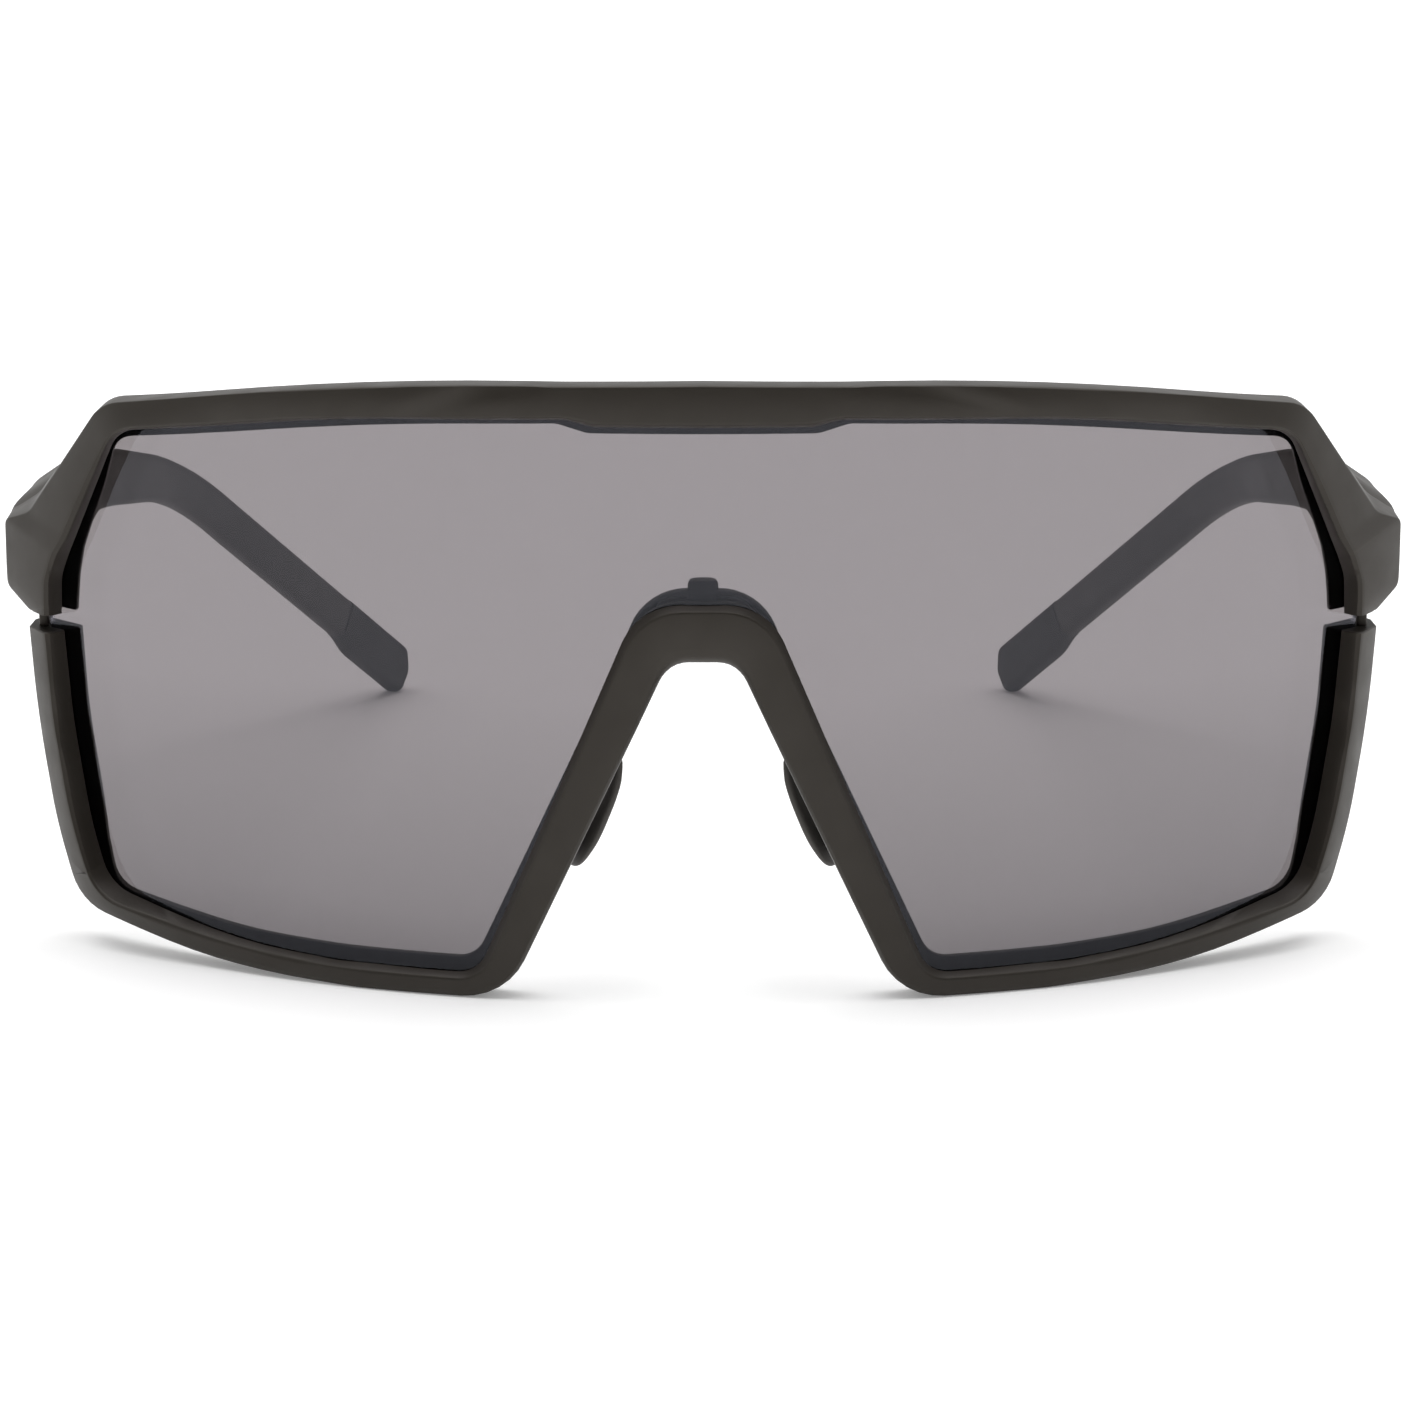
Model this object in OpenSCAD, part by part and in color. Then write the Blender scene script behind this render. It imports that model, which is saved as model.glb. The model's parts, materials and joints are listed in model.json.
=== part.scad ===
// Wraparound shield sunglasses: an upper frame, a one-piece cylindrical lens, a clip-in
// lower frame, a removable nose piece and two folding temples on metal hinges.
// +Z is up and z = 0 is the table that the lower rims and the temple tips rest on.
// The front faces -Y, the temples run to +Y, and +X is the wearer's left.

/* [Overall] */
// Width over the two end pieces
front_w = 145; // [143:0.5:147]
// Height of the front at its middle
front_h = 61.4; // [61:0.1:62]
// Front of the upper frame to the ends of the temple tips
overall_l = 157; // [156:0.5:158]

/* [Front] */
// Outer radius of the cylindrical lens
lens_r = 95; // [94:0.5:96]
// Lens thickness
lens_t = 2; // [1.8:0.1:2.2]
// Thickness of each frame lip in front of and behind the lens
lip_t = 1.2; // [1:0.1:1.4]
// Depth that the lens edge sits in its groove
groove_d = 1.1; // [0.9:0.1:1.3]
// Further reach of the upper frame's rear lip over the lens
upper_reach = 1.3; // [0.8:0.1:1.6]
// Further reach of the lower frame's rear lip over the lens
lower_reach = 0.8; // [0.5:0.1:1.2]
// Extra depth of the upper frame at the middle of the brow
brow_drop = 0.9; // [0.7:0.1:1.1]
// Gap between the lens and its groove
lens_gap = 0.1; // [0.05:0.01:0.15]
// Lowest point of the upper frame's end pieces
split_top = 34.2; // [34:0.1:34.6]
// Highest point of the lower frame's outer ends
split_bottom = 32.3; // [32:0.1:32.6]

/* [Clips] */
// Width of the clip post seen in the gap between the two frames
clip_w = 1; // [0.8:0.1:1.1]
// Depth of the clip post from front to back
clip_l = 3.2; // [2.6:0.1:3.4]
// Length of the post that goes up into the end piece
clip_reach = 5; // [4:0.5:6]

/* [Nose piece] */
// Thickness of the saddle band
saddle_t = 1.8; // [1.6:0.1:2]
// Width of the finger tab
tab_w = 3; // [2.6:0.1:3.4]
// Radius of the two locating pegs
peg_r = 0.75; // [0.7:0.05:0.8]
// Length of a nose pad along the side of the nose
pad_h = 14; // [12:0.5:15]
// Depth of a nose pad from front to back
pad_l = 10; // [9:0.5:11]
// Thickness of a nose pad
pad_t = 1.8; // [1.6:0.1:2]
// Angle of a pad from the vertical
pad_tilt = 24; // [22:1:26]
// Angle at which a pad opens towards the face
pad_splay = 24; // [20:1:28]

/* [Temples] */
// Height of a temple behind its bend
temple_h = 5.3; // [5.1:0.1:5.6]
// Thickness of a temple behind its bend
temple_t = 2.6; // [2.5:0.1:2.8]
// Extra depth of the rubber tip below the temple
tip_step = 0.9; // [0.7:0.1:1.1]
// Thickness of the steel core
core_t = 0.8; // [0.6:0.1:0.8]
// Height of the steel core
core_h = 2; // [1.7:0.1:2]

/* [Hinges] */
// Radius of the hinge barrels
barrel_r = 1.3; // [1.25:0.05:1.35]
// Radius of the hinge screw's shank
screw_r = 0.6; // [0.5:0.05:0.65]
// Radius of the hinge screw's head
head_r = 1.15; // [1:0.05:1.25]
// Distance from the middle of the front to a hinge axis
hinge_x = 67.9; // [67.8:0.1:68]
// Distance from the lens's foremost line to a hinge axis
hinge_y = 37.6; // [37.5:0.1:37.8]

/* [Hidden] */

$fn = 64;
eps = 0.02;
run_gap = 0.04;
half_w = front_w / 2;
frame_r_out = lens_r + lip_t;
frame_r_in = lens_r - lens_t - lip_t;
groove_r_out = lens_r + lens_gap;
groove_r_in = lens_r - lens_t - lens_gap;
// The lens's foremost line is y = 0 inside the modules, and placed() centres the whole.
y_shift = lip_t - overall_l / 2;
reach = 200;

frame_colour = [0.27, 0.26, 0.24];
rubber_colour = [0.2, 0.21, 0.22];
lens_colour = [0.35, 0.34, 0.37, 0.5];
steel_colour = [0.7, 0.7, 0.72];

// ---------- outlines ----------
// A half outline is a list of [x, z, corner radius] from the top towards the middle of
// the bottom on the +X side, and whole() adds the other half.

// Upper edge of the upper frame, the slanted corner, and the end piece with its chamfers.
upper_half = [
    [33, front_h, 250],
    [half_w - 11.9, front_h - 4.2, 4.5],
    [half_w - 3, split_top + 10.2, 3],
    [half_w, split_top + 8.6, 1.2],
    [half_w, split_top + 2.4, 1.6],
    [half_w - 3.1, split_top, 1]
];

// The lens: nearly straight top, slanted corners, widest at the split, nose cut-out.
lens_half = [
    [33, front_h - 1.8, 250],
    [59.2, front_h - 5.9, 5],
    [64.4, front_h - 14.2, 30],
    [67.7, split_top + 5, 12],
    [67.7, split_bottom + 1, 6],
    [65.6, 22, 60],
    [64, 11.5, 30],
    [62.6, 5.4, 5],
    [47, 1.9, 110],
    [21.1, 1.4, 2.6],
    [4.5, 38.9, 1.8]
];

// The lower frame outside: straight sides, rounded corners, flat rims, nose bridge.
lower_half = [
    [70, split_bottom, 0],
    [69.3, 23, 120],
    [67.3, 12, 50],
    [64.8, 4.2, 5],
    [47, 0.4, 90],
    [36, 0, 90],
    [19.5, 0, 7],
    [3.2, 34.5, 3]
];
// Closes the lower outline above the bridge, where the lens opening trims it.
lower_cap = [
    [10, 46, 0],
    [16, split_bottom, 0]
];

// The nose piece's saddle with its finger tab, which stand a little above the bridge.
saddle_half = [
    [tab_w / 2, 42.1, 0.6],
    [tab_w / 2, 40.9, 0.4],
    [4.6, 40.9, 2.2],
    [16.2, 14.6, 1.4],
    [13, 14.6, 0.8],
    [3.6, 35.2, 3]
];
// The bent steel strip inside the saddle.
wire_half = [
    [4.2, 39.9, 1.6],
    [12.7, 20.4, 0],
    [11.6, 20.4, 0],
    [3.9, 37.4, 1.6]
];

function unit(v) = v / norm(v);
function flip(p) = [-p[0], p[1], p[2]];
function reversed(list) = [for (i = [len(list) - 1:-1:0]) list[i]];
function whole(half) = concat(half, [for (p = reversed(half)) flip(p)]);
function xz(p) = [p[0], p[1]];
function wrap(list, i) = list[(i + len(list)) % len(list)];

// Moves every side of a clockwise outline inwards by d, and keeps its corners concentric.
function inset(list, d) = [
    for (i = [0:len(list) - 1])
        let (
            u = unit(xz(list[i]) - xz(wrap(list, i - 1))),
            v = unit(xz(wrap(list, i + 1)) - xz(list[i])),
            nu = [u[1], -u[0]],
            nv = [v[1], -v[0]],
            p = xz(list[i]) + d * (nu + nv) / (1 + nu * nv),
            r = list[i][2] == 0 ? 0 : max(0.4, list[i][2] + d * sign(cross(u, v)))
        )
        [p[0], p[1], r]
];

// Turns an outline into points, with each corner as an arc of its own radius.
function rounded(list, steps = 6) = [
    for (i = [0:len(list) - 1])
        let (
            b = xz(list[i]),
            u = unit(xz(wrap(list, i - 1)) - b),
            v = unit(xz(wrap(list, i + 1)) - b),
            half = acos(u * v) / 2,
            r = list[i][2],
            m = b + unit(u + v) * r / sin(half),
            turn = (180 - 2 * half) * sign(cross(v, u)),
            s = b + u * r / tan(half) - m,
            count = r == 0 ? 0 : steps
        )
        for (k = [0:count])
            let (a = count == 0 ? 0 : turn * k / count)
            r == 0 ? b : m + [s[0] * cos(a) - s[1] * sin(a), s[1] * cos(a) + s[0] * sin(a)]
];

// ---------- placing and cutting ----------
module placed() {
    translate([0, y_shift, 0]) children();
}

// The +X child for side = 1, and its mirror image for side = -1.
module on_side(side) {
    placed() mirror([side < 0 ? 1 : 0, 0, 0]) children();
}

// A child on each side of the middle.
module both_sides() {
    children();
    mirror([1, 0, 0]) children();
}

// An x-z outline run through the front from -Y to +Y.
module through(outline) {
    translate([0, reach / 2, 0]) rotate([90, 0, 0]) linear_extrude(height = reach)
        polygon(rounded(outline));
}

// A wall of the lens cylinder between two radii.
module wall(r_in, r_out) {
    translate([0, lens_r, -1]) difference() {
        cylinder(h = front_h + 2, r = r_out, $fn = 128);
        translate([0, 0, -1]) cylinder(h = front_h + 4, r = r_in, $fn = 128);
    }
}

// What an opening outline removes from a frame between two radii.
module cut(outline, r_in, r_out) {
    intersection() {
        through(outline);
        wall(r_in, r_out);
    }
}

// An opening through one lip, less the deeper middle of the brow where there is one.
brow_inner = 10.4;
brow_outer = 12;
module opening(outline, r_in, r_out, drop) {
    top = outline[0][1];
    difference() {
        cut(outline, r_in, r_out);
        if (drop > 0)
            through(whole([[brow_outer + 2 * drop, top + 1, 0], [brow_inner, top - drop, 1.5]]));
    }
}

// The front opening, the lens groove and the rear opening of a frame.
module lens_seat(rear_reach, drop) {
    mid_r = lens_r - lens_t / 2;
    front = inset(whole(lens_half), groove_d);
    opening(front, mid_r, frame_r_out + 1, drop);
    cut(inset(whole(lens_half), -lens_gap), groove_r_in, groove_r_out);
    opening(inset(front, rear_reach), frame_r_in - 1, mid_r, drop);
}

// ---------- clips ----------
clip_x = 67.95;
clip_y = 29;
clip_root = 4;

// A clip post, or the socket for it with a gap all round and open to the lens groove.
module clip_post(gap = 0, open = 0) {
    translate([clip_x - gap - open, clip_y - gap, split_bottom - clip_root])
        cube([clip_w + 2 * gap + open, clip_l + 2 * gap,
            clip_root + split_top - split_bottom + clip_reach + gap]);
}

// ---------- hinges ----------
seam_y = 35.4;
anchor_y = 32.9;
plate_w = 3.2;
plate_t = 1.1;
lug_w = 2.2;
lug_h = 2;
leaf_x = hinge_x + 0.1;
leaf_t = 1;
leaf_l = 11.5;
knuckle_z = 38.65;
knuckle_h = 3.3;
lug_z = [knuckle_z - run_gap - lug_h, knuckle_z + knuckle_h + run_gap];
anchor_z = lug_z[0] + 0.3;
anchor_h = lug_z[1] - lug_z[0] + lug_h - 0.6;

// The part of the frame hinge that is moulded into the end piece.
module frame_anchor(gap = 0) {
    translate([hinge_x - lug_w / 2 - gap, anchor_y - gap, anchor_z - gap])
        cube([plate_w + 2 * gap, plate_t + 2 * gap, anchor_h + 2 * gap]);
    for (z = lug_z)
        translate([hinge_x - lug_w / 2 - gap, anchor_y - gap, z - gap])
            cube([lug_w + 2 * gap, hinge_y - anchor_y, lug_h + 2 * gap]);
}

module frame_hinge_body() {
    difference() {
        union() {
            frame_anchor();
            for (z = lug_z)
                translate([hinge_x, hinge_y, z]) cylinder(h = lug_h, r = barrel_r);
        }
        translate([hinge_x, hinge_y, lug_z[0] - 1])
            cylinder(h = lug_z[1] - lug_z[0] + lug_h + 2, r = screw_r + run_gap);
    }
}

// The part of the temple hinge that is moulded into the temple.
module temple_anchor(gap = 0) {
    translate([leaf_x - gap, hinge_y - gap, knuckle_z - gap])
        cube([leaf_t + 2 * gap, leaf_l + 2 * gap, knuckle_h + 2 * gap]);
}

module temple_hinge_body() {
    difference() {
        union() {
            temple_anchor();
            translate([hinge_x, hinge_y, knuckle_z]) cylinder(h = knuckle_h, r = barrel_r);
        }
        translate([hinge_x, hinge_y, knuckle_z - 1])
            cylinder(h = knuckle_h + 2, r = screw_r + run_gap);
    }
}

module hinge_screw_body() {
    head_z = lug_z[1] + lug_h + eps;
    head_t = 0.7;
    slot_w = 0.4;
    difference() {
        translate([hinge_x, hinge_y, 0]) {
            translate([0, 0, lug_z[0]]) cylinder(h = head_z - lug_z[0] + 0.1, r = screw_r);
            translate([0, 0, head_z]) cylinder(h = head_t, r = head_r);
        }
        translate([hinge_x - head_r - 1, hinge_y - slot_w / 2, head_z + head_t / 2])
            cube([2 * head_r + 2, slot_w, 1]);
    }
}

module frame_hinge(side) {
    color(steel_colour) on_side(side) frame_hinge_body();
}

module temple_hinge(side) {
    color(steel_colour) on_side(side) temple_hinge_body();
}

module hinge_screw(side) {
    color(steel_colour) on_side(side) hinge_screw_body();
}

// ---------- front ----------
// The block behind the end piece that holds the hinge.
block_x = 66.3;
block_y = 30.5;
block_h = 12;
module end_block() {
    intersection() {
        translate([0, 0, split_top]) linear_extrude(height = block_h)
            polygon([[half_w, block_y], [half_w, seam_y], [block_x, seam_y], [block_x, block_y]]);
        through(whole(upper_half));
    }
}

// Clears the upper frame from the middle of the front, under the brow.
nose_clear = whole([[20, 50, 0], [20, split_top - 1, 0]]);

module upper_frame() {
    color(frame_colour) placed() difference() {
        union() {
            cut(whole(upper_half), frame_r_in, frame_r_out);
            both_sides() end_block();
        }
        lens_seat(upper_reach, brow_drop);
        through(nose_clear);
        translate([-reach / 2, seam_y, 0]) cube(reach);
        both_sides() {
            clip_post(run_gap, 0.4);
            frame_anchor(eps);
        }
    }
}

module lower_frame() {
    color(frame_colour) placed() difference() {
        union() {
            difference() {
                cut(concat(lower_half, [for (p = reversed(lower_half)) flip(p)],
                    [for (p = reversed(lower_cap)) flip(p)], lower_cap), frame_r_in, frame_r_out);
                lens_seat(lower_reach, 0);
            }
            both_sides() clip_post();
        }
        both_sides() peg(run_gap);
    }
}

module shield_lens() {
    color(lens_colour) placed() cut(whole(lens_half), lens_r - lens_t, lens_r);
}

// ---------- nose piece ----------
saddle_r = frame_r_in - 0.05;
peg_x = 7.2;
peg_z = 29.2;
wire_t = 0.6;
pivot_r = 0.6;
pivot = [13.5, 7.3, 16.6];

module peg(gap = 0) {
    translate([peg_x, 4.6, peg_z]) rotate([90, 0, 0]) cylinder(h = 3.4 + gap, r = peg_r + gap);
}

// The bent steel strip inside the saddle.
module wire_strip(gap = 0) {
    mid_r = saddle_r - saddle_t / 2;
    cut(inset(whole(wire_half), -gap), mid_r - wire_t / 2 - gap, mid_r + wire_t / 2 + gap);
}

// Places children on a pad's pivot, with z up along the side of the nose.
module at_pivot() {
    translate(pivot) rotate([0, -pad_tilt, 0]) children();
}

knuckle_l = 3.6;
module pad_knuckle() {
    at_pivot() {
        translate([0, 0, -knuckle_l / 2]) cylinder(h = knuckle_l, r = 1.2);
        translate([-1, -1.8, -knuckle_l / 2]) cube([2, 1.8, knuckle_l]);
    }
}

module nose_carrier() {
    color(rubber_colour) placed() difference() {
        union() {
            cut(whole(saddle_half), saddle_r - saddle_t, saddle_r);
            both_sides() {
                peg();
                pad_knuckle();
            }
        }
        wire_strip(eps);
        both_sides() at_pivot()
            translate([0, 0, -knuckle_l]) cylinder(h = 2 * knuckle_l, r = pivot_r + run_gap);
    }
}

module nose_wire() {
    color(steel_colour) placed() wire_strip();
}

// Places and sizes in a pad's own frame: x is its thickness, y its depth and z its height.
pad_at = [-2.6, 1.6, 1.5];
plate_l = 5;
plate_h = 9;
ear_x = 0.65;
ear_y = 0.9;
ear_h = 1.2;
module pad_plate(l, h, t, r, grow = 0) {
    translate([t / 2 + grow, 0, 0]) rotate([0, -90, 0]) linear_extrude(height = t + 2 * grow)
        polygon(rounded([
            [h / 2 + grow, -l / 2 - grow, r], [-h / 2 - grow, -l / 2 - grow, r],
            [-h / 2 - grow, l / 2 + grow, r], [h / 2 + grow, l / 2 + grow, r]
        ]));
}

// The steel core of a pad: a pin through the knuckle, two ears and a plate.
module core_body(gap = 0) {
    ear_z = knuckle_l / 2 + run_gap;
    at_pivot() {
        if (gap == 0)
            translate([0, 0, -ear_z - ear_h]) cylinder(h = 2 * (ear_z + ear_h), r = pivot_r);
        rotate([0, 0, -pad_splay]) {
            for (z = [ear_z, -ear_z - ear_h])
                translate([pad_at[0] - gap, -ear_y - gap, z - gap])
                    cube([ear_x - pad_at[0] + 2 * gap, 2 * (ear_y + gap), ear_h + 2 * gap]);
            translate(pad_at) pad_plate(plate_l, plate_h, 0.6, 1, gap);
        }
    }
}

module pad_core(side) {
    color(steel_colour) on_side(side) core_body();
}

module nose_pad(side) {
    color(rubber_colour) on_side(side) difference() {
        at_pivot() rotate([0, 0, -pad_splay])
            translate(pad_at) pad_plate(pad_l, pad_h, pad_t, 3.6);
        core_body(eps);
    }
}

// ---------- temples ----------
// Middle line of a temple from the seam to the tip, seen from the side and from above.
// Each point is [y, z or x, half of the height or thickness, radius of the bend].
temple_y0 = seam_y + 0.1;
bend = [98.8, 37.2, 63.5];
drop_a = 31.3;
turn_a = 21.8;
half_h = temple_h / 2;
half_t = temple_t / 2;
tip_round = 2;
tip_y = overall_l - lip_t;
tip_s = (tip_y - bend[0]) / cos(drop_a);
sleeve_s = tip_s - 19;
step_l = 4.5;
tongue_s = tip_s - 6.5;

side_front = [
    [temple_y0 - 2, 39.75, 5.1, 0],
    [39.5, 41.4, 6, 5],
    [47, 41.9, 5.7, 20],
    [66, 42.6, 3.4, 90],
    [bend[0], bend[1], half_h, 62]
];
plan_front = [
    [temple_y0 - 2, half_w - 2.6, 2.6, 0],
    [47, half_w - 2.5, 2.3, 60],
    [66, 68.75, 1.85, 60],
    [bend[0], bend[2], half_t, 120]
];

// Height of a line that runs h above the straight rear part's middle line, at y.
function line_z(y, h) = bend[1] - (y - bend[0]) * tan(drop_a) + h / cos(drop_a);
// Points on the straight rear part, s along it from the bend, with a half width.
function side_rear(s, h, r = 0) = [bend[0] + s * cos(drop_a), bend[1] - s * sin(drop_a), h, r];
function plan_rear(s, t, r = 0) = [bend[0] + s * cos(turn_a), bend[2] - s * sin(turn_a), t, r];
function thinned(path, from, h) = [
    for (i = [from:len(path) - 1]) [path[i][0], path[i][1], h, path[i][3]]
];

// The outline around a middle line: one side out, and the other side back.
function ribbon(path) =
    let (
        n = len(path),
        dirs = [for (i = [0:n - 1])
            let (
                u = unit(xz(path[i == 0 ? 1 : i]) - xz(path[i == 0 ? 0 : i - 1])),
                v = unit(xz(path[i == n - 1 ? i : i + 1]) - xz(path[i == n - 1 ? i - 1 : i]))
            )
            [-u[1] - v[1], u[0] + v[0]] / (1 + u * v)]
    )
    concat(
        [for (i = [0:n - 1]) with_r(xz(path[i]) + dirs[i] * path[i][2], path[i][3])],
        [for (i = [n - 1:-1:0]) with_r(xz(path[i]) - dirs[i] * path[i][2], path[i][3])]
    );
function with_r(p, r) = [p[0], p[1], r];
function swapped(list) = [for (p = list) [p[1], p[0], p[2]]];

// A solid with one outline seen from the side (y, z) and another seen from above (y, x).
module two_views(side_outline, plan_outline) {
    intersection() {
        rotate([90, 0, 90]) linear_extrude(height = reach) polygon(rounded(side_outline));
        translate([0, 0, -reach / 2]) linear_extrude(height = reach)
            polygon(rounded(swapped(plan_outline)));
    }
}

// The stub that carries the rubber tip.
module tongue(gap = 0) {
    h = half_h - 1.3 + gap;
    t = half_t - 0.5 + gap;
    two_views(ribbon([side_rear(sleeve_s - 3, h), side_rear(tongue_s + gap, h)]),
        ribbon([plan_rear(sleeve_s - 9, t), plan_rear(tip_s, t)]));
}

// The steel core runs the length of the temple.
module core_strip(gap = 0) {
    h = core_h / 2 + gap;
    t = core_t / 2 + gap;
    two_views(
        ribbon(concat([[51 - gap, 41.85, h, 0]], thinned(side_front, 3, h),
            [side_rear(tongue_s - 4 + gap, h)])),
        ribbon(concat([[50 - gap, 69.8, t, 0]], thinned(plan_front, 2, t), [plan_rear(tip_s, t)]))
    );
}

// The temple's inner side is cut back round the hinge barrels.
pocket = 2;
module arm_shell() {
    intersection() {
        two_views(ribbon(concat(side_front, [side_rear(sleeve_s, half_h)])),
            ribbon(concat(plan_front, [plan_rear(tip_s, half_t)])));
        difference() {
            translate([0, temple_y0, 0]) cube(reach);
            cube([hinge_x + pocket, hinge_y + pocket, reach]);
        }
    }
}

module temple_arm(side) {
    color(frame_colour) on_side(side) difference() {
        union() {
            arm_shell();
            tongue();
        }
        temple_anchor(eps);
        core_strip(eps);
    }
}

// The sleeve is as high as the temple on top, steps down below it and ends upright.
module temple_tip(side) {
    low_h = half_h + tip_step;
    wide_t = half_t + 0.1;
    above = ribbon([side_rear(sleeve_s + eps, half_h), side_rear(tip_s, half_h)]);
    below = ribbon([side_rear(sleeve_s + step_l, low_h, 2), side_rear(tip_s, low_h)]);
    outline = [
        above[0],
        [tip_y, line_z(tip_y, half_h), tip_round],
        [tip_y, line_z(tip_y, -low_h), tip_round],
        below[3],
        above[3]
    ];
    color(rubber_colour) on_side(side) difference() {
        intersection() {
            two_views(outline,
                ribbon([plan_rear(sleeve_s - 9, wide_t), plan_rear(tip_s + 9, wide_t)]));
            cube(reach);
        }
        tongue(eps);
        core_strip(eps);
    }
}

module temple_core(side) {
    color(steel_colour) on_side(side) core_strip();
}

upper_frame();
lower_frame();
shield_lens();
nose_carrier();
nose_wire();
nose_pad(1);  // left_nose_pad
nose_pad(-1);  // right_nose_pad
pad_core(1);  // left_pad_core
pad_core(-1);  // right_pad_core
temple_arm(1);  // left_temple_arm
temple_arm(-1);  // right_temple_arm
temple_tip(1);  // left_temple_tip
temple_tip(-1);  // right_temple_tip
temple_core(1);  // left_temple_core
temple_core(-1);  // right_temple_core
frame_hinge(1);  // left_frame_hinge
frame_hinge(-1);  // right_frame_hinge
temple_hinge(1);  // left_temple_hinge
temple_hinge(-1);  // right_temple_hinge
hinge_screw(1);  // left_hinge_screw
hinge_screw(-1);  // right_hinge_screw
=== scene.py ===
"""Wraparound shield sunglasses: the visible surfaces, finishes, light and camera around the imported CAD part.

Lengths in the tables below are millimetres and are turned into metres when a mesh is made.
x points to the wearer's left, y to the temple tips and z up from the table.
"""

import json
import math

import bmesh
import bpy
from mathutils import Matrix, Vector


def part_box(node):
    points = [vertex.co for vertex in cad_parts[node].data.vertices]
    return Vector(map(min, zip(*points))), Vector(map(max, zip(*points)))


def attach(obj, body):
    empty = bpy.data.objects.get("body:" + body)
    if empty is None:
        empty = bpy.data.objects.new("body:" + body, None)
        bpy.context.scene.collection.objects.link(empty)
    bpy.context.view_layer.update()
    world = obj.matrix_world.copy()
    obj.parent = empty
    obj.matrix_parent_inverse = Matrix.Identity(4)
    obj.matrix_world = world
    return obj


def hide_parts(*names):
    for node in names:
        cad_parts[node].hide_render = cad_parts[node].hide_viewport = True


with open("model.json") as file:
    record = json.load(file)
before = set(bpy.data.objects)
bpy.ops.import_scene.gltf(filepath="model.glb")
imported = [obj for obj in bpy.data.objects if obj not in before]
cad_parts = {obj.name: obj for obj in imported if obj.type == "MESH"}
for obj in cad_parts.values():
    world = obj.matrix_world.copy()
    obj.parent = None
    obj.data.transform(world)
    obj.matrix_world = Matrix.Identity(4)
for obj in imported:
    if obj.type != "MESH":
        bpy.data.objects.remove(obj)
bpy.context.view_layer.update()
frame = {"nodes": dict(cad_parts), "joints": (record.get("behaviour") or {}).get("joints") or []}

MM = 0.001

# ---------- places read from the CAD part ----------
Y_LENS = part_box("shield_lens")[0].y / MM
Y_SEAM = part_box("upper_frame")[1].y / MM
Y_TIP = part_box("left_temple_tip")[1].y / MM
JOINTS = {j["name"]: j for j in frame["joints"]}

# The front is a wall of a standing cylinder with these radii.
R_AXIS = 95.0
R_FRONT = 96.2
R_SEAT_FRONT = 95.1
R_LENS_FRONT = 95.0
R_LENS_BACK = 93.0
R_SEAT_BACK = 92.9
R_BACK = 91.8
# The front lip stands this much prouder towards the sides, from this x on and over this width.
CROWN = 1.5
CROWN_FROM, CROWN_OVER = 45.0, 20.0


def on_cylinder(p, radius):
    """A front-view point (x, z) put on the cylinder wall of that radius."""
    y = Y_LENS + R_AXIS - math.sqrt(radius * radius - p.x * p.x)
    return Vector((p.x, y, p.y))


# ---------- curves ----------
SHORTEST_BEND = 0.35


def smooth(t):
    """0 below 0, 1 above 1, and an even curve between them."""
    t = min(1.0, max(0.0, t))
    return t * t * (3 - 2 * t)


def arc(a, p, b, steps):
    """Points of the arc from a to b whose tangents meet at p."""
    weight = math.sin((a - p).angle(b - p) / 2)
    points = []
    for k in range(steps + 1):
        t = k / steps
        ka, kp, kb = (1 - t) ** 2, 2 * weight * t * (1 - t), t * t
        points.append((a * ka + p * kp + b * kb) / (ka + kp + kb))
    return points


def curve(corners, bend_steps=6, run_steps=6):
    """An open outline of (x, z, corner radius): the same number of points for the same number of corners."""
    where = [Vector(c[:2]) for c in corners]
    points = [where[0]]
    for i in range(1, len(corners) - 1):
        u = (where[i - 1] - where[i]).normalized()
        v = (where[i + 1] - where[i]).normalized()
        length = max(corners[i][2] / math.tan(u.angle(v) / 2), SHORTEST_BEND)
        a, b = where[i] + u * length, where[i] + v * length
        start = points[-1]
        points += [start.lerp(a, k / run_steps) for k in range(1, run_steps)]
        points += arc(a, where[i], b, bend_steps)
    start = points[-1]
    points += [start.lerp(where[-1], k / run_steps) for k in range(1, run_steps + 1)]
    return points


def ring(corners, steps=3, share=0.45):
    """A closed section of (point, corner radius). A bend takes at most the given share of a side."""
    points = []
    for i, (p, radius) in enumerate(corners):
        u = corners[i - 1][0] - p
        v = corners[(i + 1) % len(corners)][0] - p
        length = min(radius / math.tan(u.angle(v) / 2), share * u.length, share * v.length)
        points += arc(p + u.normalized() * length, p, p + v.normalized() * length, steps)
    return points


def value_at(table, t):
    """Reads a table of (t, value) with an even curve between its rows."""
    if t <= table[0][0]:
        return table[0][1]
    for (t0, v0), (t1, v1) in zip(table, table[1:]):
        if t <= t1:
            return v0 + (v1 - v0) * smooth((t - t0) / (t1 - t0))
    return table[-1][1]


def line_at(points, t):
    """Reads a dense polyline of (t, value)."""
    for p, q in zip(points, points[1:]):
        if p[0] <= t <= q[0]:
            return p[1] + (q[1] - p[1]) * (t - p[0]) / max(q[0] - p[0], 1e-9)
    return points[-1][1] if t > points[-1][0] else points[0][1]


# ---------- meshes ----------
def flipped(points):
    """Points mirrored to the other side."""
    return [Vector((-p.x, p.y, p.z)) for p in points]


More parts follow.
